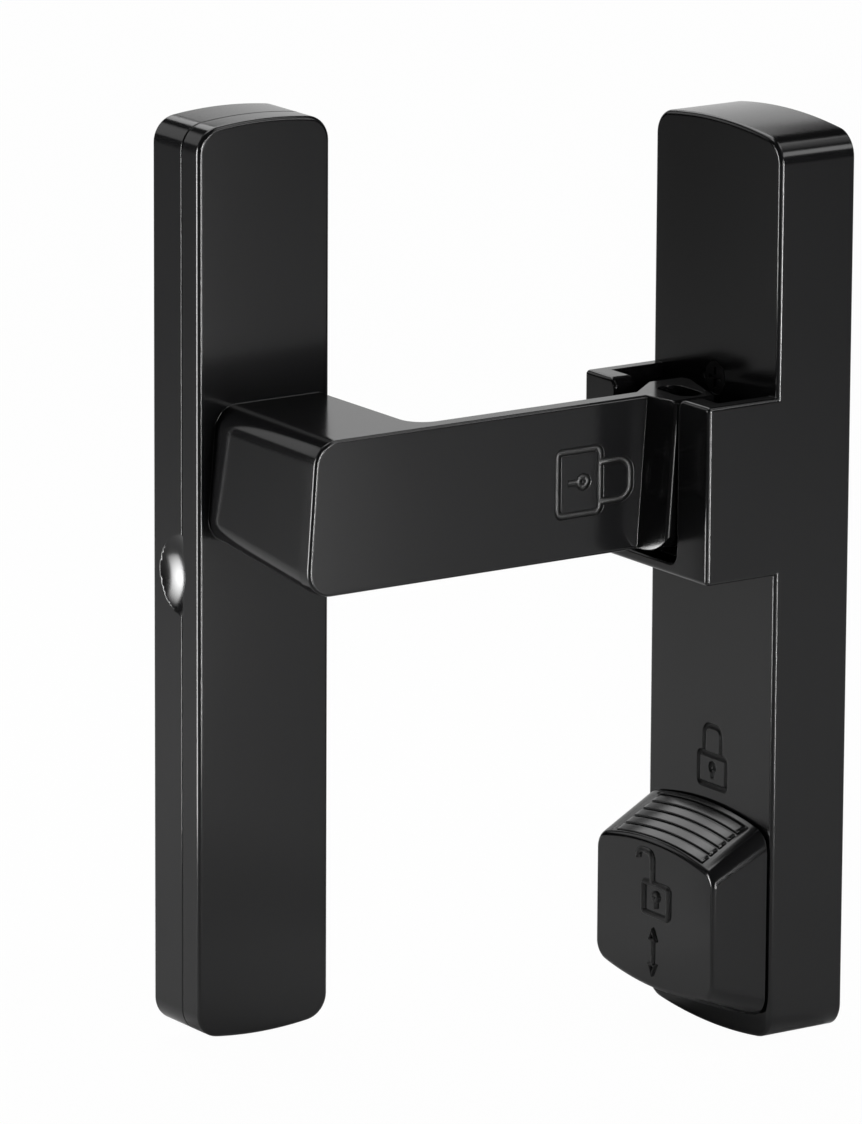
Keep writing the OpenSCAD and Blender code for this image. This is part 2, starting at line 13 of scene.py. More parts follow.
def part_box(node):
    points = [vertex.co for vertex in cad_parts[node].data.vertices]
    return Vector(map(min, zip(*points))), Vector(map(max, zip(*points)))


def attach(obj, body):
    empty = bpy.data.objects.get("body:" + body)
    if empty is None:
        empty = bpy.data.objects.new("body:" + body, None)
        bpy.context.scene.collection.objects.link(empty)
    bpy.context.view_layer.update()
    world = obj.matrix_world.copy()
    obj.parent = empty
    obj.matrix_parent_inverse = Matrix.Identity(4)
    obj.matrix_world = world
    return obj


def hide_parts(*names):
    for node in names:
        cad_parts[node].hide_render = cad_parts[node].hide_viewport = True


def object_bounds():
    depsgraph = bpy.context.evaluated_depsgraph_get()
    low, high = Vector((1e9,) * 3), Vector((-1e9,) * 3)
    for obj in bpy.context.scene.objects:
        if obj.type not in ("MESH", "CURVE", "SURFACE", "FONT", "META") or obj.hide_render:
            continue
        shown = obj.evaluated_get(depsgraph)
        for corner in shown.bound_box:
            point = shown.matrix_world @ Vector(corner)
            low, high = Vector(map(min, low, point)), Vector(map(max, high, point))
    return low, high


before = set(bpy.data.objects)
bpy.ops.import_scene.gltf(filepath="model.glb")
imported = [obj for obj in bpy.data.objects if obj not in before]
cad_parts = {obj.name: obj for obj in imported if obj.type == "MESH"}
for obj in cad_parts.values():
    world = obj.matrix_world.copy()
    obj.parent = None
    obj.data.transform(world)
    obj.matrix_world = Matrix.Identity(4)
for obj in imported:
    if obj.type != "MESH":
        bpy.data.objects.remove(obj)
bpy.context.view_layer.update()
MM = 0.001

# Jamb plate
# The flat plate that two wood screws hold against the door jamb. It is pressed from sheet steel
# and blackened, with two round posts that the housing screws bite into.
BLACKENED_COLOUR = (0.030, 0.029, 0.028, 1)
BLACKENED_METALLIC = 0.9
BLACKENED_ROUGHNESS = 0.45
PLATE_GRAIN = 2600


def wire(tree, outlet, inlet):
    """Joins two sockets of a node tree."""
    tree.links.new(outlet, inlet)


def metal_finish(name, colour, metallic, roughness, grain):
    """A metal with a fine grain that tints its colour and its gloss."""
    finish = bpy.data.materials.new(name)
    finish.use_nodes = True
    tree = finish.node_tree
    shader = tree.nodes["Principled BSDF"]
    shader.inputs["Metallic"].default_value = metallic
    place = tree.nodes.new("ShaderNodeTexCoord")
    noise = tree.nodes.new("ShaderNodeTexNoise")
    noise.inputs["Scale"].default_value = grain
    noise.inputs["Detail"].default_value = 4
    gloss = tree.nodes.new("ShaderNodeMapRange")
    gloss.inputs["To Min"].default_value = roughness * 0.8
    gloss.inputs["To Max"].default_value = roughness * 1.25
    shade = tree.nodes.new("ShaderNodeMix")
    shade.data_type = "RGBA"
    shade.inputs["A"].default_value = [0.82 * c for c in colour[:3]] + [1]
    shade.inputs["B"].default_value = colour
    bump = tree.nodes.new("ShaderNodeBump")
    bump.inputs["Strength"].default_value = 0.12
    bump.inputs["Distance"].default_value = 0.02 * MM
    wire(tree, place.outputs["Object"], noise.inputs["Vector"])
    wire(tree, noise.outputs["Fac"], gloss.inputs["Value"])
    wire(tree, noise.outputs["Fac"], shade.inputs["Factor"])
    wire(tree, noise.outputs["Fac"], bump.inputs["Height"])
    wire(tree, gloss.outputs["Result"], shader.inputs["Roughness"])
    wire(tree, shade.outputs["Result"], shader.inputs["Base Color"])
    wire(tree, bump.outputs["Normal"], shader.inputs["Normal"])
    return finish


def dress(node, finish):
    """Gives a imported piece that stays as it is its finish."""
    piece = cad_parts[node]
    piece.data.materials.clear()
    piece.data.materials.append(finish)


dress("jamb_plate", metal_finish("blackened_plate", BLACKENED_COLOUR, BLACKENED_METALLIC, BLACKENED_ROUGHNESS,
                                 PLATE_GRAIN))

# Catch housing
# One hollow moulding of black plastic: the tall housing that clips over the jamb plate, and the open
# receiver that stands off it. The tool leaves every outer edge rounded, and a locked padlock is cut in.
PLASTIC_COLOUR = (0.0045, 0.0045, 0.0048, 1)
PLASTIC_ROUGHNESS = 0.15
ETCHED_COLOUR = (0.002, 0.002, 0.002, 1)
ETCHED_ROUGHNESS = 0.42
BODY_W = 24.6 * MM
BODY_H = 108 * MM
BODY_CORNER = 3 * MM
BODY_CROWN = 1.1 * MM
BODY_FACE = -10.4 * MM
BODY_INNER = -8.4 * MM
SIDE_WALL = 1.6 * MM
HOUSING_EDGE = 0.55 * MM
SMALL_EDGE = 0.14 * MM
RECEIVER_TIP = -20.1 * MM
RECEIVER_Z = 2.45 * MM
RECEIVER_TOP = 23.35 * MM
RECEIVER_EDGE = 0.5 * MM
RECEIVER_ROOT = 1.2 * MM
RIM_EDGE = 0.35 * MM
FLOOR_Z = 3.85 * MM
MOUTH_W = 12.4 * MM
MOUTH_FOOT_R = 1.3 * MM
LIP_R = 1.4 * MM
CHAMBER_W = 20.6 * MM
CHAMBER_X = -17.3 * MM
LOCK_Y = -1.05 * MM
FOOT_SLOT = {"width": 10.4 * MM, "height": 5.5 * MM, "radius": 1.5 * MM}
FOOT_SLOT_X = -12.5 * MM
NECK_HALF_W = 1.45 * MM
NECK_SLOT_TOP = 14.2 * MM
STEM_SLOT_HALF_W = 3.7 * MM
STEM_SLOT_LOW = -45 * MM
STEM_SLOT_TOP = -28.4 * MM
UPPER_SCREW_Z = 23.55 * MM
LOWER_SCREW_Z = -49.2 * MM
SCREW_HEAD_R = 2.2 * MM
SCREW_HOLE_R = 1.2 * MM
SCREW_HEAD_DEPTH = 0.8 * MM
RAIL_NEAR = 6.7 * MM
RAIL_FAR = 8.1 * MM
RAIL_LOW = -47 * MM
RAIL_TOP = -19 * MM
RAIL_X = -5.1 * MM
ROUND_TURN = (0, 352.5, 47)
CREASE_FROM = math.radians(33)
LOCKED_SIGN_Y = -0.5 * MM
LOCKED_SIGN_Z = -23.3 * MM
LOCKED_SIGN = {"width": 5.4 * MM, "height": 3.7 * MM, "shackle_w": 3.3 * MM, "shackle_h": 3.5 * MM}
SIGN_LINE_R = 0.35 * MM
SIGN_LIFT = 0.02 * MM


def moulded_plastic(name, colour, roughness, edge):
    """Satin moulded plastic: fine spark-eroded grain, slow changes in gloss, small edges softened by edge."""
    finish = bpy.data.materials.new(name)
    finish.use_nodes = True
    tree = finish.node_tree
    shader = tree.nodes["Principled BSDF"]
    shader.inputs["IOR"].default_value = 1.5
    place = tree.nodes.new("ShaderNodeTexCoord")
    flow = tree.nodes.new("ShaderNodeTexNoise")
    flow.inputs["Scale"].default_value = 45
    flow.inputs["Detail"].default_value = 3
    gloss = tree.nodes.new("ShaderNodeMapRange")
    gloss.inputs["To Min"].default_value = roughness * 0.92
    gloss.inputs["To Max"].default_value = roughness * 1.1
    shade = tree.nodes.new("ShaderNodeMix")
    shade.data_type = "RGBA"
    shade.inputs["A"].default_value = [0.85 * c for c in colour[:3]] + [1]
    shade.inputs["B"].default_value = [1.15 * c for c in colour[:3]] + [1]
    grain = tree.nodes.new("ShaderNodeTexNoise")
    grain.inputs["Scale"].default_value = 5200
    grain.inputs["Detail"].default_value = 2
    bump = tree.nodes.new("ShaderNodeBump")
    bump.inputs["Strength"].default_value = 0.1
    bump.inputs["Distance"].default_value = 0.01 * MM
    soft = tree.nodes.new("ShaderNodeBevel")
    soft.samples = 6
    soft.inputs["Radius"].default_value = edge
    wire(tree, soft.outputs["Normal"], bump.inputs["Normal"])
    wire(tree, place.outputs["Object"], flow.inputs["Vector"])
    wire(tree, place.outputs["Object"], grain.inputs["Vector"])
    wire(tree, flow.outputs["Fac"], gloss.inputs["Value"])
    wire(tree, flow.outputs["Fac"], shade.inputs["Factor"])
    wire(tree, grain.outputs["Fac"], bump.inputs["Height"])
    wire(tree, gloss.outputs["Result"], shader.inputs["Roughness"])
    wire(tree, shade.outputs["Result"], shader.inputs["Base Color"])
    wire(tree, bump.outputs["Normal"], shader.inputs["Normal"])
    return finish


def crowned_outline(wide, high, corner, crown, end_steps=40, corner_steps=10):
    """Points round an upright outline with straight sides, round corners and gently curved ends."""
    end_r = (wide * wide / 4 + crown * crown) / (2 * crown)
    end_up = high / 2 - end_r
    corner_across = wide / 2 - corner
    corner_up = end_up + math.sqrt((end_r - corner) ** 2 - corner_across ** 2)
    meet = math.atan2(corner_up - end_up, corner_across)
    top = []
    for step in range(corner_steps + 1):
        angle = meet * step / corner_steps
        top.append((corner_across + corner * math.cos(angle), corner_up + corner * math.sin(angle)))
    for step in range(1, end_steps):
        angle = meet + (math.pi - 2 * meet) * step / end_steps
        top.append((end_r * math.cos(angle), end_up + end_r * math.sin(angle)))
    top += [(-across, up) for across, up in reversed(top[:corner_steps + 1])]
    return top + [(-across, -up) for across, up in top]


def arc(centre, radius, start, stop, steps=8):
    """Points of an arc about a centre, from one angle to another, in degrees."""
    across, up = centre
    angles = [math.radians(start + (stop - start) * step / steps) for step in range(steps + 1)]
    return [(across + radius * math.cos(a), up + radius * math.sin(a)) for a in angles]


def rounded_box(width, height, radius, steps=4, centre=(0, 0)):
    """Points round a box with rounded corners."""
    points = []
    for quarter in range(4):
        across = centre[0] + (1 if quarter in (0, 3) else -1) * (width / 2 - radius)
        up = centre[1] + (1 if quarter in (0, 1) else -1) * (height / 2 - radius)
        points += arc((across, up), radius, 90 * quarter, 90 * quarter + 90, steps)
    return points


def along_x(depth, across, up):
    """Stands a ring upright, its depth along X."""
    return (depth, across, up)


def along_y(depth, across, up):
    """Stands a ring upright, its depth along Y."""
    return (across, depth, up)


def along_z(depth, across, up):
    """Lays a ring flat, its depth along Z."""
    return (across, up, depth)


def loft(shell, layers, place):
    """Joins layers of (depth, ring) with faces and closes both ends."""
    rows = [[shell.verts.new(place(depth, across, up)) for across, up in ring] for depth, ring in layers]
    for first, second in zip(rows, rows[1:]):
        for k in range(len(first)):
            after = (k + 1) % len(first)
            shell.faces.new((first[k], first[after], second[after], second[k]))
    shell.faces.new(rows[0])
    shell.faces.new(list(reversed(rows[-1])))


def quarter_round(face, radius, inward, ring, steps=5):
    """Layers that turn the side of a shape into its face over a quarter round. Inward points off the face."""
    layers = []
    for step in range(steps + 1):
        angle = math.radians(90) * step / steps
        layers.append((face + inward * radius * (1 - math.sin(angle)), ring(radius * (1 - math.cos(angle)))))
    return layers


def show(name, mesh):
    """Links a finished mesh to the scene under its piece's name."""
    piece = bpy.data.objects.new(name, mesh)
    bpy.context.scene.collection.objects.link(piece)
    return piece


def lofted(name, layers, place):
    """A closed solid through layers of (depth, ring)."""
    shell = bmesh.new()
    loft(shell, layers, place)
    bmesh.ops.recalc_face_normals(shell, faces=shell.faces)
    mesh = bpy.data.meshes.new(name)
    shell.to_mesh(mesh)
    shell.free()
    mesh.materials.append(black_plastic)
    return show(name, mesh)


def block(name, low, high, radius=0.0):
    """A block between two corners, its edges rounded where a radius is given."""
    shell = bmesh.new()
    size = [b - a for a, b in zip(low, high)]
    for vert in bmesh.ops.create_cube(shell, size=1)["verts"]:
        vert.co = [a + (c + 0.5) * width for a, c, width in zip(low, vert.co, size)]
    if radius:
        bmesh.ops.bevel(shell, geom=shell.edges[:], offset=radius, segments=5, profile=0.5, affect="EDGES")
    mesh = bpy.data.meshes.new(name)
    shell.to_mesh(mesh)
    shell.free()
    mesh.materials.append(black_plastic)
    return show(name, mesh)


def settle(piece):
    """Turns the live modifiers of a piece into plain mesh."""
    bpy.context.view_layer.update()
    graph = bpy.context.evaluated_depsgraph_get()
    mesh = bpy.data.meshes.new_from_object(piece.evaluated_get(graph), depsgraph=graph)
    piece.modifiers.clear()
    piece.data = mesh
    return piece


def work(piece, tools, operation="DIFFERENCE"):
    """Cuts tools out of a piece, or adds them to it, and throws the tools away."""
    for tool in tools:
        step = piece.modifiers.new("work", "BOOLEAN")
        step.object = tool
        step.operation = operation
        step.solver = "EXACT"
        step.material_mode = "TRANSFER"
        settle(piece)
        bpy.data.objects.remove(tool)
    return piece


def even_shading(piece):
    """Keeps wide faces flat in the gloss and lets only the rounded edges turn."""
    shell = bmesh.new()
    shell.from_mesh(piece.data)
    bmesh.ops.remove_doubles(shell, verts=shell.verts, dist=0.001 * MM)
    bmesh.ops.dissolve_limit(shell, angle_limit=math.radians(0.2), verts=shell.verts, edges=shell.edges)
    shell.to_mesh(piece.data)
    shell.free()
    piece.data.shade_smooth()
    piece.data.set_sharp_from_angle(angle=CREASE_FROM)
    weights = piece.modifiers.new("even shading", "WEIGHTED_NORMAL")
    weights.keep_sharp = True
    return settle(piece)


def engraver(name, strokes, radius, to_face):
    """The cutter for a sign: round strokes along paths of (points, closed) that lie just under a face."""
    tree = bpy.data.node_groups.new(name, "GeometryNodeTree")
    face = tree.interface
    face.new_socket("Geometry", in_out="INPUT", socket_type="NodeSocketGeometry")
    radius_in = face.new_socket("Line Radius", in_out="INPUT", socket_type="NodeSocketFloat").identifier
    face.new_socket("Geometry", in_out="OUTPUT", socket_type="NodeSocketGeometry")
    paths = tree.nodes.new("NodeGroupInput")
    profile = tree.nodes.new("GeometryNodeCurvePrimitiveCircle")
    profile.inputs["Resolution"].default_value = 16
    sweep = tree.nodes.new("GeometryNodeCurveToMesh")
    sweep.inputs["Fill Caps"].default_value = True
    made = tree.nodes.new("GeometryNodeRealizeInstances")
    coat = tree.nodes.new("GeometryNodeSetMaterial")
    out = tree.nodes.new("NodeGroupOutput")
    wire(tree, paths.outputs["Line Radius"], profile.inputs["Radius"])
    wire(tree, paths.outputs["Geometry"], sweep.inputs["Curve"])
    wire(tree, profile.outputs["Curve"], sweep.inputs["Profile Curve"])
    wire(tree, sweep.outputs["Mesh"], made.inputs["Geometry"])
    wire(tree, made.outputs["Geometry"], coat.inputs["Geometry"])
    coat.inputs["Material"].default_value = etched_plastic
    wire(tree, coat.outputs["Geometry"], out.inputs["Geometry"])
    cutters = []
    for index, (points, closed) in enumerate(strokes):
        line = bpy.data.curves.new(f"{name}_{index}", "CURVE")
        line.dimensions = "2D"
        run = line.splines.new("POLY")
        run.points.add(len(points) - 1)
        run.use_cyclic_u = closed
        for point, (u, v) in zip(run.points, points):
            point.co = (u, v, 0, 1)
        path = show(f"{name}_{index}", line)
        sweeper = path.modifiers.new("sweep", "NODES")
        sweeper[radius_in] = radius
        sweeper.node_group = tree
        bpy.context.view_layer.update()
        graph = bpy.context.evaluated_depsgraph_get()
        mesh = bpy.data.meshes.new_from_object(path.evaluated_get(graph), depsgraph=graph)
        bpy.data.objects.remove(path)
        mesh.transform(to_face)
        solid = bmesh.new()
        solid.from_mesh(mesh)
        bmesh.ops.remove_doubles(solid, verts=solid.verts, dist=0.001 * MM)
        bmesh.ops.recalc_face_normals(solid, faces=solid.faces)
        solid.to_mesh(mesh)
        solid.free()
        cutters.append(show(f"{name}_cut_{index}", mesh))
    return cutters


def padlock(width, height, shackle_w, shackle_h, shift=0.0, lifted=0.0):
    """Strokes of a padlock sign: its body, its shackle, and a keyhole with a slot below."""
    left, right = shift - shackle_w / 2, shift + shackle_w / 2
    foot = height / 2
    turn = 0.34 * shackle_w
    top = foot + shackle_h
    hoop = [(left, foot + lifted)]
    hoop += arc((left + turn, top - turn), turn, 180, 90)
    hoop += arc((right - turn, top - turn), turn, 90, 0)
    hoop.append((right, foot))
    hole_r = 0.085 * width
    hole_up = 0.1 * height
    slot = [(0, hole_up - hole_r), (0, -0.26 * height)]
    return [
        (rounded_box(width, height, 0.085 * width), True),
        (hoop, False),
        (arc((0, hole_up), hole_r, 0, 315, 7), True),
        (slot, False),
    ]


def on_front_x(x, y, z):
    """Places a sign just under a face that looks along -X: across runs towards -Y, up stays up."""
    return Matrix(((0, 0, 1, x - SIGN_LIFT), (-1, 0, 0, y), (0, 1, 0, z), (0, 0, 0, 1)))


black_plastic = moulded_plastic("black_satin_plastic", PLASTIC_COLOUR, PLASTIC_ROUGHNESS, SMALL_EDGE)
etched_plastic = moulded_plastic("etched_black_plastic", ETCHED_COLOUR, ETCHED_ROUGHNESS, SMALL_EDGE)


def body_ring(inset):
    """Outline of the housing from the front, inset all round."""
    return crowned_outline(BODY_W - 2 * inset, BODY_H - 2 * inset, BODY_CORNER - inset, BODY_CROWN)


def mouth_ring(grow):
    """Outline of the receiver's mouth from the front, grown outwards, with round floor corners and lips."""
    half = MOUTH_W / 2
    lip = arc((half + LIP_R, RECEIVER_TOP - LIP_R), LIP_R - grow, 90, 180)
    foot = arc((half - MOUTH_FOOT_R, FLOOR_Z + MOUTH_FOOT_R), MOUTH_FOOT_R + grow, 0, -90)
    side = [(half + LIP_R, RECEIVER_TOP + MM)] + lip + foot
    return side + [(-across, up) for across, up in reversed(side)]


def chamber_ring(grow):
    """Outline of the receiver's chamber from above, grown on the three sides that end in a rim."""
    side = CHAMBER_W / 2 + grow
    return [(CHAMBER_X - grow, -side), (BODY_FACE, -side), (BODY_FACE, side), (CHAMBER_X - grow, side)]


def round_hole(name, z, steps):
    """A round cutter along X, from (x, radius) steps."""
    return lofted(name, [(x, arc((0, z), radius, *ROUND_TURN)) for x, radius in steps], along_x)


layers = [(BODY_INNER, body_ring(SIDE_WALL)), (0, body_ring(SIDE_WALL)), (0, body_ring(SMALL_EDGE)),
          (-SMALL_EDGE, body_ring(0))]
layers += quarter_round(BODY_FACE, HOUSING_EDGE, 1, body_ring)
housing = lofted("housing_and_receiver", layers, along_x)
work(housing, [block("receiver_block", (RECEIVER_TIP, -BODY_W / 2, RECEIVER_Z),
                     (BODY_FACE + RECEIVER_ROOT, BODY_W / 2, RECEIVER_TOP), RECEIVER_EDGE)], "UNION")
mouth = quarter_round(RECEIVER_TIP, RIM_EDGE, 1, mouth_ring)
mouth = [(CHAMBER_X + 0.05 * MM, mouth_ring(0))] + mouth + [(RECEIVER_TIP - MM, mouth_ring(RIM_EDGE))]
chamber = [(FLOOR_Z, chamber_ring(0))] + quarter_round(RECEIVER_TOP, RIM_EDGE, -1, chamber_ring)
chamber.append((RECEIVER_TOP + MM, chamber_ring(RIM_EDGE)))
foot_slot = rounded_box(**FOOT_SLOT, centre=(FOOT_SLOT_X, LOCK_Y))
cuts = [
    lofted("mouth", mouth, along_x),
    lofted("chamber", chamber, along_z),
    lofted("foot_slot", [(RECEIVER_Z - MM, foot_slot), (FLOOR_Z + 0.3 * MM, foot_slot)], along_z),
    block("neck_slot", (BODY_FACE - MM, LOCK_Y - NECK_HALF_W, RECEIVER_Z),
          (BODY_INNER + MM, LOCK_Y + NECK_HALF_W, NECK_SLOT_TOP)),
    block("stem_slot", (BODY_FACE - MM, -STEM_SLOT_HALF_W, STEM_SLOT_LOW),
          (BODY_INNER + MM, STEM_SLOT_HALF_W, STEM_SLOT_TOP)),
]
for name, z in (("upper_hole", UPPER_SCREW_Z), ("lower_hole", LOWER_SCREW_Z)):
    cuts.append(round_hole(name, z, [(BODY_FACE - 0.2 * MM, SCREW_HEAD_R),
                                     (BODY_FACE + SCREW_HEAD_DEPTH, SCREW_HOLE_R),
                                     (BODY_INNER + MM, SCREW_HOLE_R)]))
work(housing, cuts)
rails = []
for side in (-1, 1):
    near, far = sorted((side * RAIL_NEAR, side * RAIL_FAR))
    rails.append(block("rail", (BODY_INNER - 0.1 * MM, near, RAIL_LOW), (RAIL_X, far, RAIL_TOP)))
work(housing, rails, "UNION")
work(housing, engraver("locked_sign", padlock(**LOCKED_SIGN), SIGN_LINE_R,
                       on_front_x(BODY_FACE, LOCKED_SIGN_Y, LOCKED_SIGN_Z)))
even_shading(housing)
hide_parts("catch_housing")
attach(housing, "jamb_half")

# Housing screws
# Two small round-headed machine screws of blackened steel. They are driven from the front and draw the
# housing onto the posts of the jamb plate.
SCREW_COLOUR = (0.02, 0.02, 0.02, 1)
STEEL_GRAIN = 1800
blackened_screw = metal_finish("blackened_screw", SCREW_COLOUR, 0.8, 0.4, STEEL_GRAIN)
for name in ("housing_screw_upper", "housing_screw_lower"):
    dress(name, blackened_screw)

# Slider carriage
# The runner behind the housing's front, moulded in pale nylon. It slides between the housing's rails. The
# lock bar is riveted to it, and the thumb slider is screwed to its front.
NYLON_COLOUR = (0.72, 0.72, 0.68, 1)
NYLON_ROUGHNESS = 0.45
NYLON_EDGE = 0.15 * MM
dress("slider_carriage", moulded_plastic("nylon", NYLON_COLOUR, NYLON_ROUGHNESS, NYLON_EDGE))

# Lock bar and detent spring
# The lock bar is punched from steel strip, with a T-shaped foot, and two rivets hold it to the carriage.
# The detent spring is a bent leaf with a rivet of its own. All are zinc plated, as the knob's screws are.
ZINC_COLOUR = (0.55, 0.56, 0.58, 1)
zinc = metal_finish("zinc_plated_steel", ZINC_COLOUR, 1.0, 0.32, STEEL_GRAIN)
for name in ("detent_spring", "spring_rivet", "knob_screws", "lock_bar", "bar_rivets"):
    dress(name, zinc)

# Thumb slider
# A hollow moulded knob of black plastic that the thumb pushes up to lock and down to open. Its ends slope
# and carry ribs for grip, and an open padlock and a double arrow mark its face.
# Known fault: the faces of this shell point inwards (its volume is negative). The signs are meant to be cut
# into it, and instead stand up to 0.37 mm proud of it.
KNOB_BACK_X = -10.7 * MM
KNOB_REACH = 7.5 * MM
KNOB_WALL = 1.8 * MM
KNOB_EDGE = 0.45 * MM
KNOB_CROWN = 1.5 * MM
KNOB_BASE = {"wide": 24.2 * MM, "high": 24.7 * MM, "corner": 2.7 * MM}
KNOB_FACE = {"wide": 23.4 * MM, "high": 17.6 * MM, "corner": 2.1 * MM}
FACE_DROP = 0.5 * MM
RIB_BAND = 17 * MM
RIB_COUNT = 5
RIB_RISE = 0.26 * MM
RIB_GAP = 0.24 * MM
RIB_STARTS = 0.1
RIB_ENDS = 0.93
BAND_SLOPE = 0.5 * MM
RIB_ROOT = 0.3 * MM
RIB_STEP = 0.05 * MM
RIB_SOFT_EDGE = 0.06 * MM
STEM_W = 6.8 * MM
STEM_H = 6 * MM
STEM_DROP = 2.5 * MM
STEM_BACK = -8.1 * MM
UNLOCKED_SIGN = {"width": 5.0 * MM, "height": 3.7 * MM, "shackle_w": 2.8 * MM, "shackle_h": 3.7 * MM,
                 "shift": -2.2 * MM, "lifted": 2.6 * MM}
SLIDER_SIGN_Y = -0.45 * MM
SLIDER_SIGN_Z = -37.8 * MM
ARROW_Z = -44.2 * MM
ARROW_Y = 0.1 * MM
ARROW_LONG = 5.4 * MM
ARROW_HEAD = 1.2 * MM
ARROW_LINE_R = 0.3 * MM
knob_low, knob_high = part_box("slider_knob")
knob_z = (knob_low.z + knob_high.z) / 2
face_x = KNOB_BACK_X - KNOB_REACH


def knob_ring(depth, inset, sunk=0.0):
    """One layer of the knob: 0 is at the housing and 1 at the face. The rib band sinks by sunk."""
    size = {key: KNOB_BASE[key] + (KNOB_FACE[key] - KNOB_BASE[key]) * depth for key in KNOB_BASE}
    points = crowned_outline(size["wide"] - 2 * inset, size["high"] - 2 * inset,
                             max(size["corner"] - inset, 0.5 * MM), KNOB_CROWN)
    middle = knob_z - FACE_DROP * depth
    ring = []
    for across, up in points:
        side = min(max((RIB_BAND / 2 + BAND_SLOPE - abs(across)) / BAND_SLOPE, 0), 1)
        ring.append((across, middle + up - math.copysign(sunk * side, up)))
    return ring


def at_depth(depth):
    """X of a layer of the knob: 0 is at the housing and 1 at the face."""
    return KNOB_BACK_X - KNOB_REACH * depth


shell = bmesh.new()
layers = []
inner_depth = 1 - KNOB_WALL / KNOB_REACH
for depth in (inner_depth, 0.5, 0.05):
    layers.append((at_depth(depth), knob_ring(depth, KNOB_WALL)))
layers.append((KNOB_BACK_X, knob_ring(0, KNOB_WALL)))
layers.append((KNOB_BACK_X, knob_ring(0, 0.15 * MM)))
layers.append((KNOB_BACK_X - 0.15 * MM, knob_ring(0.02, 0)))
for depth in (0.04, RIB_STARTS - 0.015):
    layers.append((at_depth(depth), knob_ring(depth, 0)))
for depth in (RIB_STARTS, 0.3, 0.5, 0.7, RIB_ENDS):
    layers.append((at_depth(depth), knob_ring(depth, 0, RIB_RISE)))
edge_depth = KNOB_EDGE / KNOB_REACH
for step in range(6):
    angle = math.radians(90) * step / 5
    depth = 1 - edge_depth * (1 - math.sin(angle))
    layers.append((at_depth(depth), knob_ring(depth, KNOB_EDGE * (1 - math.cos(angle)))))
loft(shell, layers, along_x)
stem = bmesh.ops.create_cube(shell, size=1)["verts"]
stem_front = face_x + KNOB_WALL - 0.05 * MM
for vert in stem:
    vert.co = ((stem_front + STEM_BACK) / 2 + vert.co.x * (STEM_BACK - stem_front),
               vert.co.y * STEM_W, knob_z - STEM_DROP + vert.co.z * STEM_H)
bmesh.ops.recalc_face_normals(shell, faces=shell.faces)
knob_mesh = bpy.data.meshes.new("thumb_slider")
shell.to_mesh(knob_mesh)
shell.free()
knob_mesh.materials.append(black_plastic)
knob = show("thumb_slider", knob_mesh)


def arrow(length, head):
    """Strokes of an upright arrow with a head at each end."""
    tip = length / 2
    strokes = [([(0, -tip + head), (0, tip - head)], False)]
    for way in (1, -1):
        foot = way * (tip - head)
        strokes.append(([(-head / 2, foot), (0, way * tip), (head / 2, foot)], True))
    return strokes


work(knob, engraver("unlocked_sign", padlock(**UNLOCKED_SIGN), SIGN_LINE_R,
                    on_front_x(face_x, SLIDER_SIGN_Y, SLIDER_SIGN_Z)))
work(knob, engraver("arrow_sign", arrow(ARROW_LONG, ARROW_HEAD), ARROW_LINE_R,
                    on_front_x(face_x, ARROW_Y, ARROW_Z)))
even_shading(knob)
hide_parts("slider_knob")
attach(knob, "lock_slider")


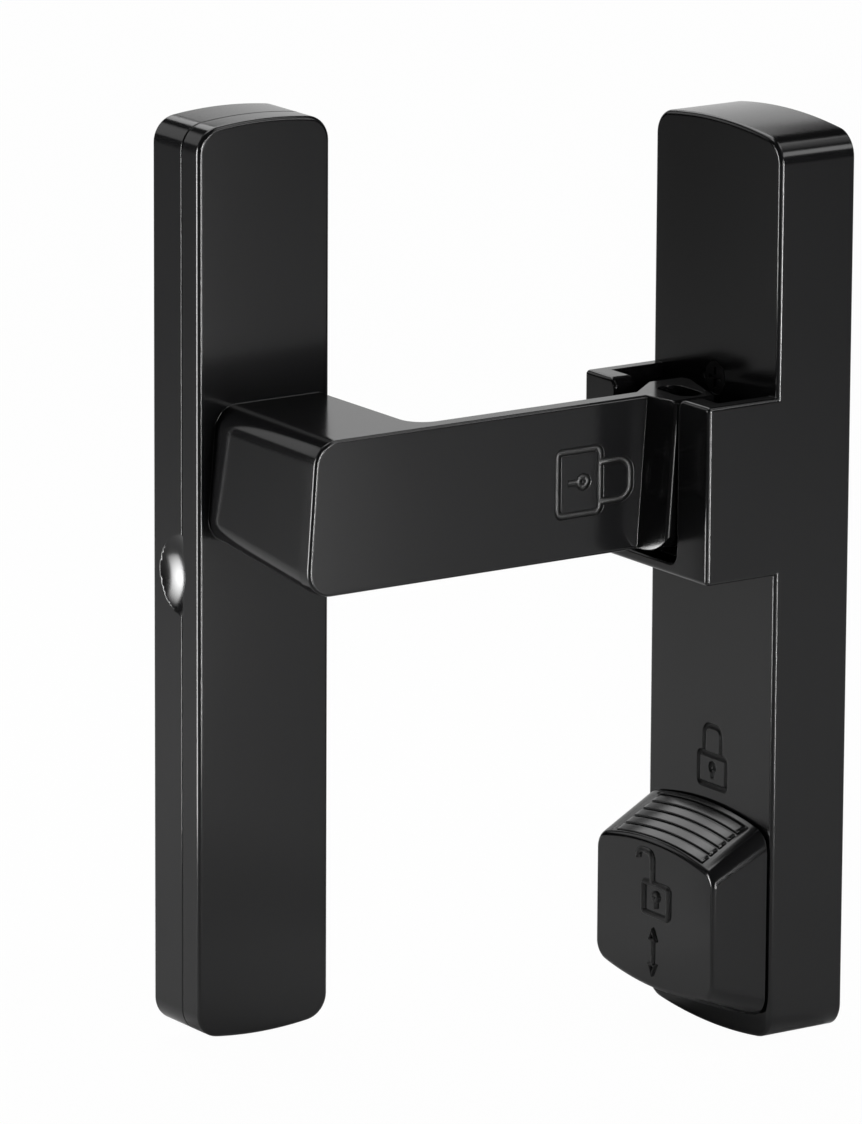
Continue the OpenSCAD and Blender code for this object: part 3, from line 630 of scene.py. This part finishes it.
def grip_ribs(name, up, finish):
    """Ribs across a sloping end of the knob: a flat bar swept along the end's curve, stepped up the slope."""
    end_r = (KNOB_BASE["wide"] ** 2 / 4 + KNOB_CROWN ** 2) / (2 * KNOB_CROWN)
    half_turn = math.asin(RIB_BAND / 2 / end_r)
    slope = up * (KNOB_FACE["high"] - KNOB_BASE["high"]) / 2 - FACE_DROP
    pitch = (RIB_ENDS - RIB_STARTS) / RIB_COUNT
    first = RIB_STARTS + pitch / 2
    rib_wide = pitch * KNOB_REACH - RIB_GAP
    tree = bpy.data.node_groups.new(name, "GeometryNodeTree")
    face = tree.interface
    face.new_socket("Geometry", in_out="INPUT", socket_type="NodeSocketGeometry")
    names = {}
    for label, kind in (("Ribs", "NodeSocketInt"), ("Curve Radius", "NodeSocketFloat"),
                        ("Half Turn", "NodeSocketFloat"), ("First Rib", "NodeSocketVector"),
                        ("Step", "NodeSocketVector")):
        names[label] = face.new_socket(label, in_out="INPUT", socket_type=kind).identifier
    face.new_socket("Geometry", in_out="OUTPUT", socket_type="NodeSocketGeometry")
    sizes = tree.nodes.new("NodeGroupInput")
    bow = tree.nodes.new("GeometryNodeCurveArc")
    bow.inputs["Resolution"].default_value = 33
    start = tree.nodes.new("ShaderNodeMath")
    start.operation = "SUBTRACT"
    start.inputs[0].default_value = math.radians(90)
    sweep_by = tree.nodes.new("ShaderNodeMath")
    sweep_by.operation = "MULTIPLY"
    sweep_by.inputs[1].default_value = 2
    bar = tree.nodes.new("GeometryNodeCurvePrimitiveQuadrilateral")
    bar.mode = "POINTS"
    lean = -up * slope / KNOB_REACH * rib_wide / 2
    corners = ((lean - RIB_ROOT, -rib_wide / 2), (lean + RIB_RISE - RIB_STEP, -rib_wide / 2),
               (RIB_RISE - lean, rib_wide / 2), (-lean - RIB_ROOT, rib_wide / 2))
    for number, (out_by, along) in enumerate(corners, 1):
        bar.inputs[f"Point {number}"].default_value = (out_by, along, 0)
    level = tree.nodes.new("GeometryNodeSetCurveNormal")
    level.mode = "Z_UP"
    sweep = tree.nodes.new("GeometryNodeCurveToMesh")
    sweep.inputs["Fill Caps"].default_value = True
    stand = tree.nodes.new("GeometryNodeTransform")
    stand.inputs["Rotation"].default_value = (math.radians(90), 0, math.radians(90))
    row = tree.nodes.new("GeometryNodeMeshLine")
    place = tree.nodes.new("GeometryNodeInstanceOnPoints")
    made = tree.nodes.new("GeometryNodeRealizeInstances")
    coat = tree.nodes.new("GeometryNodeSetMaterial")
    coat.inputs["Material"].default_value = finish
    out = tree.nodes.new("NodeGroupOutput")
    wire(tree, sizes.outputs["Curve Radius"], bow.inputs["Radius"])
    wire(tree, sizes.outputs["Half Turn"], start.inputs[1])
    wire(tree, start.outputs["Value"], bow.inputs["Start Angle"])
    wire(tree, sizes.outputs["Half Turn"], sweep_by.inputs[0])
    wire(tree, sweep_by.outputs["Value"], bow.inputs["Sweep Angle"])
    wire(tree, bow.outputs["Curve"], level.inputs["Curve"])
    wire(tree, level.outputs["Curve"], sweep.inputs["Curve"])
    wire(tree, bar.outputs["Curve"], sweep.inputs["Profile Curve"])
    wire(tree, sweep.outputs["Mesh"], stand.inputs["Geometry"])
    wire(tree, sizes.outputs["Ribs"], row.inputs["Count"])
    wire(tree, sizes.outputs["First Rib"], row.inputs["Start Location"])
    wire(tree, sizes.outputs["Step"], row.inputs["Offset"])
    wire(tree, row.outputs["Mesh"], place.inputs["Points"])
    wire(tree, stand.outputs["Geometry"], place.inputs["Instance"])
    wire(tree, place.outputs["Instances"], made.inputs["Geometry"])
    wire(tree, made.outputs["Geometry"], coat.inputs["Geometry"])
    wire(tree, coat.outputs["Geometry"], out.inputs["Geometry"])
    ribs = show(name, bpy.data.meshes.new(name))
    maker = ribs.modifiers.new("ribs", "NODES")
    first_up = knob_z + up * KNOB_BASE["high"] / 2 + slope * first - up * (end_r + RIB_RISE)
    values = {
        "Ribs": RIB_COUNT,
        "Curve Radius": end_r,
        "Half Turn": half_turn,
        "First Rib": (at_depth(first), 0, first_up),
        "Step": (-pitch * KNOB_REACH, 0, slope * pitch),
    }
    for label, value in values.items():
        maker[names[label]] = value
    maker.node_group = tree
    if up < 0:
        stand.inputs["Rotation"].default_value = (math.radians(-90), 0, math.radians(-90))
    settle(ribs)
    bars = bmesh.new()
    bars.from_mesh(ribs.data)
    bmesh.ops.remove_doubles(bars, verts=bars.verts, dist=0.001 * MM)
    bmesh.ops.recalc_face_normals(bars, faces=bars.faces)
    bars.to_mesh(ribs.data)
    bars.free()
    rounding = ribs.modifiers.new("worn edge", "BEVEL")
    rounding.limit_method = "ANGLE"
    rounding.angle_limit = math.radians(50)
    rounding.width = RIB_SOFT_EDGE
    rounding.segments = 2
    settle(ribs)
    even_shading(ribs)
    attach(ribs, "lock_slider")


grip_ribs("upper_grip_ribs", 1, black_plastic)
grip_ribs("lower_grip_ribs", -1, black_plastic)

# Door base
# The hollow black moulding that two wood screws hold against the face of the door. Half of a finger scoop
# is cut into its left side, and its front edge makes a fine seam with the cover that clips over it.
DOOR_W = 17.8 * MM
DOOR_CROWN = 0.8 * MM
DOOR_MID = -58.9 * MM
DOOR_RISE = 1.55 * MM
DOOR_EDGE = 0.5 * MM
SEAM_EDGE = 0.15 * MM
DOOR_WALL = 2.4 * MM
SEAM_Y = 24.2 * MM
BASE_FLOOR_Y = 28.3 * MM
DOOR_Y = 30.5 * MM
SCOOP_R = 8.93 * MM
SCOOP_DEPTH = 1.4 * MM
SCOOP_Z = 2.6 * MM
MOUNT_APART = 38 * MM
MOUNT_HEAD_R = 3.6 * MM
MOUNT_HOLE_R = 2.1 * MM
MOUNT_SEAT = 1.4 * MM
POST_APART = 28 * MM
POST_HOLE_R = 1.05 * MM


def door_ring(inset):
    """Outline of the door half from the front, inset all round."""
    outline = crowned_outline(DOOR_W - 2 * inset, BODY_H - 2 * inset, BODY_CORNER - inset, DOOR_CROWN)
    return [(DOOR_MID + across, DOOR_RISE + up) for across, up in outline]


def ball(name, radius, middle, flat=1.0):
    """A fine ball, pressed flat along X where wanted."""
    shell = bmesh.new()
    bmesh.ops.create_uvsphere(shell, u_segments=180, v_segments=90, radius=radius)
    for vert in shell.verts:
        vert.co = (middle[0] + flat * vert.co.x, middle[1] + vert.co.y, middle[2] + vert.co.z)
    mesh = bpy.data.meshes.new(name)
    shell.to_mesh(mesh)
    shell.free()
    mesh.materials.append(black_plastic)
    return show(name, mesh)


def door_hole(name, z, steps):
    """A round cutter along Y, from (y, radius) steps."""
    return lofted(name, [(y, arc((DOOR_MID, z), radius, *ROUND_TURN)) for y, radius in steps], along_y)


def door_shell(name, inner_y, seam_side, face_y):
    """A hollow shell of the door half: its floor inside, the seam with the other half, and its outer face."""
    layers = [(inner_y, door_ring(DOOR_WALL)), (SEAM_Y, door_ring(DOOR_WALL)), (SEAM_Y, door_ring(SEAM_EDGE)),
              (SEAM_Y + seam_side * SEAM_EDGE, door_ring(0))]
    return lofted(name, layers + quarter_round(face_y, DOOR_EDGE, -seam_side, door_ring), along_y)


base = door_shell("door_base_shell", BASE_FLOOR_Y, 1, DOOR_Y)
cuts = [ball("scoop", SCOOP_R, (DOOR_MID - DOOR_W / 2 - SCOOP_R + SCOOP_DEPTH, SEAM_Y, SCOOP_Z))]
for side in (-1, 1):
    cuts.append(door_hole("mount", DOOR_RISE + side * MOUNT_APART,
                          [(BASE_FLOOR_Y - 0.1 * MM, MOUNT_HEAD_R), (BASE_FLOOR_Y + MOUNT_SEAT, MOUNT_HOLE_R),
                           (DOOR_Y + MM, MOUNT_HOLE_R)]))
    cuts.append(door_hole("post", DOOR_RISE + side * POST_APART,
                          [(BASE_FLOOR_Y - MM, POST_HOLE_R), (DOOR_Y - 0.5 * MM, POST_HOLE_R)]))
work(base, cuts)
even_shading(base)
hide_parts("door_base")
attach(base, "door_half")

# Spring clips
# Two bent leaves of plated spring steel, each riveted to the floor of the door base. The cover's tongues
# snap into them.
for name in ("clip_upper", "clip_lower", "clip_rivets"):
    dress(name, zinc)

# Cover and hook arm
# One black moulding: the cover that clips over the door base, a hollow leg that stands off it, and a flat
# arm that runs across to the receiver. Its end thickens into the hook head, which has an open recess on
# top and the lock bar's pocket below, and a padlock is cut into its face.
COVER_Y = 20.7 * MM
COVER_INNER_Y = 22.4 * MM
ARM_HALF_T = 1.05 * MM
ARM_Z = 4.85 * MM
ARM_TOP = 22.85 * MM
ARM_MID_Z = 13.85 * MM
ARM_CORNER = 3 * MM
ARM_LEFT = -66.6 * MM
ARM_LEAN = math.radians(4)
ARM_EDGE = 0.4 * MM
LEG_RIGHT = -51.4 * MM
LEG_FLARE = 2 * MM
LEG_LEAN = 0.6 * MM
LEG_HOLLOW_LOW = Vector((-63.8, 2.05, 9.05)) * MM
LEG_HOLLOW_TOP = Vector((-53.6, 22.5, 20.65)) * MM
TONGUE_HALF_W = 3.5 * MM
TONGUE_END_Y = 27.3 * MM
CREASE_X = -21.3 * MM
HEAD_END = -11.5 * MM
HEAD_LEN = 9.8 * MM
HEAD_HALF_W = 5.9 * MM
HEAD_R = 1.2 * MM
HEAD_FAR_R = 2.4 * MM
HEAD_SWEEP = 2.6 * MM
HEAD_SHOULDER = 4.4 * MM
HEAD_SLANT = 0.9 * MM
HEAD_TOP_R = 1.4 * MM
HEAD_LOW_R = 3.8 * MM
HEAD_LOW_LIFT = 0.15 * MM
SHOULDER_R = 0.6 * MM
HEAD_BACK = 0.7 * MM
HEAD_TALL = 18 * MM
NICK_R = 4.8 * MM
NICK_Y = 4.1 * MM
NICK_FLAT = 0.16
POCKET_X = -16.1 * MM
POCKET_R = 1.7 * MM
POCKET_RUN = 2.8 * MM
POCKET_TOP = 14.85 * MM
HEAD_RECESS = 4 * MM
ARM_SIGN = {"width": 7.5 * MM, "height": 5.9 * MM, "shackle_w": 4.7 * MM, "shackle_h": 4.2 * MM,
            "shift": 0.3 * MM}
ARM_SIGN_X = -30.1 * MM
ARM_SIGN_Z = 13.8 * MM
ARM_LINE_R = 0.43 * MM


def arm_ring(right, lift, inset):
    """Outline of the arm from the front: raked left end with two round corners, square right end."""
    radius = ARM_CORNER - inset
    lean = math.tan(ARM_LEAN) * (ARM_TOP - ARM_CORNER - ARM_MID_Z)
    rake = 180 - math.degrees(ARM_LEAN)
    top = arc((ARM_LEFT + ARM_CORNER + lean, ARM_TOP - ARM_CORNER), radius, 90, rake)
    low = arc((ARM_LEFT + ARM_CORNER - lean, ARM_Z + lift + ARM_CORNER), radius, rake, 270)
    return [(right, ARM_TOP - inset)] + top + low + [(right, ARM_Z + lift + inset)]


def leg_ring(share):
    """Outline of the leg: share is 1 at the arm and 0 at the cover."""
    ring = arm_ring(LEG_RIGHT, LEG_FLARE * (1 - share), 0)
    return [(across if across == LEG_RIGHT else across + LEG_LEAN * (1 - share), up) for across, up in ring]


def head_plan():
    """Convex hull of the hook head from above, its crease at 0: near shoulder, slope to the far side."""
    near = (HEAD_LEN - HEAD_R - HEAD_BACK - HEAD_SWEEP, HEAD_R - HEAD_HALF_W)
    far = (HEAD_LEN - HEAD_FAR_R - HEAD_BACK, HEAD_HALF_W - HEAD_FAR_R)
    shoulder = (SHOULDER_R + HEAD_SLANT, SHOULDER_R - ARM_HALF_T - HEAD_SHOULDER)
    points = [(0, ARM_HALF_T), (0, -ARM_HALF_T)]
    for radius, steps, place in ((HEAD_FAR_R, 9, far), (HEAD_R, 6, near), (SHOULDER_R, 6, shoulder)):
        points += rounded_box(2 * radius, 2 * radius, radius, steps, place)
    return points


def wrapped(name, points):
    """The convex solid round a set of points."""
    shell = bmesh.new()
    verts = [shell.verts.new(point) for point in points]
    found = bmesh.ops.convex_hull(shell, input=verts)
    left_over = found["geom_interior"] + found["geom_unused"]
    inner = {part for part in left_over if isinstance(part, bmesh.types.BMVert)}
    bmesh.ops.delete(shell, geom=list(inner), context="VERTS")
    bmesh.ops.dissolve_limit(shell, angle_limit=math.radians(0.1), verts=shell.verts, edges=shell.edges)
    bmesh.ops.recalc_face_normals(shell, faces=shell.faces)
    mesh = bpy.data.meshes.new(name)
    shell.to_mesh(mesh)
    shell.free()
    mesh.materials.append(black_plastic)
    return show(name, mesh)


arm = door_shell("cover_and_hook_arm", COVER_INNER_Y, -1, COVER_Y)
plate_right = CREASE_X + 2 * MM
plate = [(ARM_HALF_T, arm_ring(plate_right, 0, 0))]
plate += quarter_round(-ARM_HALF_T, ARM_EDGE, 1, lambda inset: arm_ring(plate_right, 0, inset))
lean_up = [Vector((math.sin(ARM_LEAN) * z + CREASE_X, 0, ARM_MID_Z + math.cos(ARM_LEAN) * z))
           for z in (-HEAD_TALL, HEAD_TALL)]
head = wrapped("head", [foot + Vector((math.cos(ARM_LEAN) * x, y, -math.sin(ARM_LEAN) * x))
                        for foot in lean_up for x, y in head_plan()])
front = [(side * (HEAD_HALF_W - r), z, r) for side in (-1, 1)
         for r, z in ((HEAD_TOP_R, ARM_TOP - HEAD_TOP_R), (HEAD_LOW_R, ARM_Z + HEAD_LOW_LIFT + HEAD_LOW_R))]
bounds = wrapped("head_bounds", [(x, y, z) for x in (CREASE_X - 3 * MM, HEAD_END + MM)
                                 for across, up, r in front for y, z in arc((across, up), r, 0, 350, 35)])
work(head, [bounds], "INTERSECT")
corner = [(LEG_RIGHT - MM, 0.5 * MM), (LEG_RIGHT + ARM_CORNER, 0.5 * MM)]
corner += [(LEG_RIGHT + ARM_CORNER, ARM_HALF_T)]
corner += arc((LEG_RIGHT + ARM_CORNER, ARM_HALF_T + ARM_CORNER), ARM_CORNER, 270, 180)[1:]
corner += [(LEG_RIGHT - MM, ARM_HALF_T + ARM_CORNER)]
tongues = [block("tongue", (DOOR_MID - TONGUE_HALF_W, COVER_INNER_Y - 0.1 * MM, z - MM),
                 (DOOR_MID + TONGUE_HALF_W, TONGUE_END_Y, z + MM))
           for z in (DOOR_RISE - POST_APART, DOOR_RISE + POST_APART)]
work(arm, [
    lofted("leg", [(ARM_HALF_T - 0.01 * MM, leg_ring(1)), (COVER_Y + 0.6 * MM, leg_ring(0))], along_y),
    lofted("plate", plate, along_y),
    head,
    lofted("corner", [(ARM_Z, corner), (ARM_TOP, corner)], along_z),
] + tongues, "UNION")
pocket = rounded_box(2 * POCKET_R, POCKET_RUN + 2 * POCKET_R, POCKET_R * 0.999, 8, (POCKET_X, LOCK_Y))
work(arm, [
    block("hollow", LEG_HOLLOW_LOW, LEG_HOLLOW_TOP),
    lofted("recess", [(ARM_TOP - HEAD_RECESS, pocket), (ARM_TOP + MM, pocket)], along_z),
    lofted("pocket", [(ARM_Z - MM, pocket), (POCKET_TOP, pocket)], along_z),
    block("neck_way", (POCKET_X, LOCK_Y - NECK_HALF_W, ARM_Z - MM),
          (HEAD_END + MM, LOCK_Y + NECK_HALF_W, POCKET_TOP)),
    ball("nick", NICK_R, (DOOR_MID - DOOR_W / 2, SEAM_Y + NICK_Y, SCOOP_Z), NICK_FLAT),
])
on_arm = Matrix(((0, 1, 0, ARM_SIGN_X), (0, 0, -1, -ARM_HALF_T - SIGN_LIFT), (-1, 0, 0, ARM_SIGN_Z),
                 (0, 0, 0, 1)))
work(arm, engraver("arm_sign", padlock(**ARM_SIGN), ARM_LINE_R, on_arm))
even_shading(arm)
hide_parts("cover_arm")
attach(arm, "door_half")

# Camera
# The photograph is taken from the room, from the left and a little above, through a long lens. The place
# and the focal length were fitted to the printed sizes, in pixels of the whole picture.
PHOTO_HEIGHT_PX = 1124
FOCAL_PX = 9000
SENSOR_MM = 36
CAMERA_TURN = math.radians(-34.108)
CAMERA_TILT = math.radians(13.758)
CAMERA_ROLL = math.radians(0.311)
CAMERA_AIM = Vector((-33.8, 12.7, 0.55)) * MM
AIM_ACROSS = -6.109 * MM
AIM_UP = 1.513 * MM
CAMERA_AWAY = 1040.5 * MM

back = Vector((math.sin(CAMERA_TURN) * math.cos(CAMERA_TILT), -math.cos(CAMERA_TURN) * math.cos(CAMERA_TILT),
               math.sin(CAMERA_TILT)))
level = Vector((math.cos(CAMERA_TURN), math.sin(CAMERA_TURN), 0))
above = back.cross(level)
right = math.cos(CAMERA_ROLL) * level + math.sin(CAMERA_ROLL) * above
upward = math.cos(CAMERA_ROLL) * above - math.sin(CAMERA_ROLL) * level
eye = CAMERA_AIM + AIM_ACROSS * right + AIM_UP * upward + CAMERA_AWAY * back
lens = bpy.data.cameras.new("photo_camera")
lens.sensor_width = SENSOR_MM
lens.lens = SENSOR_MM * FOCAL_PX / PHOTO_HEIGHT_PX
lens.clip_start = 0.05
camera = bpy.data.objects.new("photo_camera", lens)
camera.matrix_world = Matrix((
    (right.x, upward.x, back.x, eye.x),
    (right.y, upward.y, back.y, eye.y),
    (right.z, upward.z, back.z, eye.z),
    (0, 0, 0, 1),
))
bpy.context.scene.collection.objects.link(camera)
bpy.context.scene.camera = camera

# Studio
# A white paper table top in a white room. Soft lamps stand behind, above and beside the latch. Two small
# pools of light on the table and three upright strips give the long edges and lower faces their shine.
FLOOR_SIZE = 8
PAPER_COLOUR = (0.86, 0.86, 0.86, 1)
PAPER_ROUGHNESS = 0.7
WHITE_SEEN = 0.98
ROOM_GLOW = 0.015
low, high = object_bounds()
floor_mesh = bpy.data.meshes.new("table_top")
half = FLOOR_SIZE / 2
corners = [(-half, -half, low.z), (half, -half, low.z), (half, half, low.z), (-half, half, low.z)]
floor_mesh.from_pydata(corners, [], [(0, 1, 2, 3)])
floor = show("table_top", floor_mesh)
paper = bpy.data.materials.new("white_paper")
paper.use_nodes = True
tree = paper.node_tree
shader = tree.nodes["Principled BSDF"]
shader.inputs["Base Color"].default_value = PAPER_COLOUR
shader.inputs["Roughness"].default_value = PAPER_ROUGHNESS
glow = tree.nodes.new("ShaderNodeEmission")
seen = tree.nodes.new("ShaderNodeLightPath")
share = tree.nodes.new("ShaderNodeMath")
share.operation = "MULTIPLY"
share.inputs[1].default_value = WHITE_SEEN
both = tree.nodes.new("ShaderNodeMixShader")
wire(tree, seen.outputs["Is Camera Ray"], share.inputs[0])
wire(tree, share.outputs["Value"], both.inputs["Fac"])
wire(tree, shader.outputs["BSDF"], both.inputs[1])
wire(tree, glow.outputs["Emission"], both.inputs[2])
wire(tree, both.outputs["Shader"], tree.nodes["Material Output"].inputs["Surface"])
floor_mesh.materials.append(paper)

world = bpy.data.worlds.new("studio")
world.use_nodes = True
sky = world.node_tree.nodes["Background"]
sky.inputs["Color"].default_value = (1, 1, 1, 1)
looked_at = world.node_tree.nodes.new("ShaderNodeLightPath")
brightness = world.node_tree.nodes.new("ShaderNodeMapRange")
brightness.inputs["To Min"].default_value = ROOM_GLOW
brightness.inputs["To Max"].default_value = WHITE_SEEN
wire(world.node_tree, looked_at.outputs["Is Camera Ray"], brightness.inputs["Value"])
wire(world.node_tree, brightness.outputs["Result"], sky.inputs["Strength"])
bpy.context.scene.world = world


def softbox(name, place, aim, size, power, spread=180):
    """A soft lamp that looks at a point and throws its light within a cone of spread degrees."""
    lamp = bpy.data.lights.new(name, "AREA")
    lamp.shape = "RECTANGLE"
    lamp.size, lamp.size_y = size
    lamp.energy = power
    lamp.spread = math.radians(spread)
    stand = bpy.data.objects.new(name, lamp)
    stand.location = place
    stand.rotation_mode = "QUATERNION"
    stand.rotation_quaternion = (Vector(aim) - Vector(place)).to_track_quat("-Z", "Y")
    stand.visible_camera = False
    bpy.context.scene.collection.objects.link(stand)


centre = (low + high) / 2
table = Vector((0, 0, low.z))
softbox("back_box", centre + Vector((0.4, 0.6, 0.12)), centre, (0.9, 0.36), 0.8)
softbox("roof_box", centre + Vector((0.21, 0.455, 0.42)), centre, (0.35, 0.3), 0.6)
softbox("right_box", centre + Vector((0.42, -0.62, 0.45)), centre, (0.5, 0.2), 1.0)
softbox("side_box", centre + Vector((0.24, -0.13, 0.55)), centre, (0.35, 0.2), 0.33)
softbox("rear_box", centre + Vector((-0.25, 0.56, 0.3)), centre, (0.3, 0.25), 0.18)
softbox("front_pool", Vector((0.1, -0.15, 0.25)), Vector((0.1, -0.15, 0)) + table, (0.2, 0.2), 0.08, 100)
softbox("rear_pool", Vector((-0.05, 0.17, 0.25)), Vector((-0.04, 0.15, 0)) + table, (0.2, 0.2), 0.13, 90)
softbox("left_strip", Vector((-0.158, 0.066, 0)), Vector((-0.068, 0.02, 0.01)), (0.04, 0.15), 0.05, 60)
softbox("front_strip", Vector((-0.062, -0.12, 0)), Vector((-0.066, 0.02, 0.01)), (0.012, 0.15), 0.035, 60)
softbox("body_strip", Vector((-0.006, -0.12, 0)), Vector((-0.0104, -0.012, 0.01)), (0.012, 0.15), 0.035, 60)

bpy.context.scene.view_settings.view_transform = "Standard"
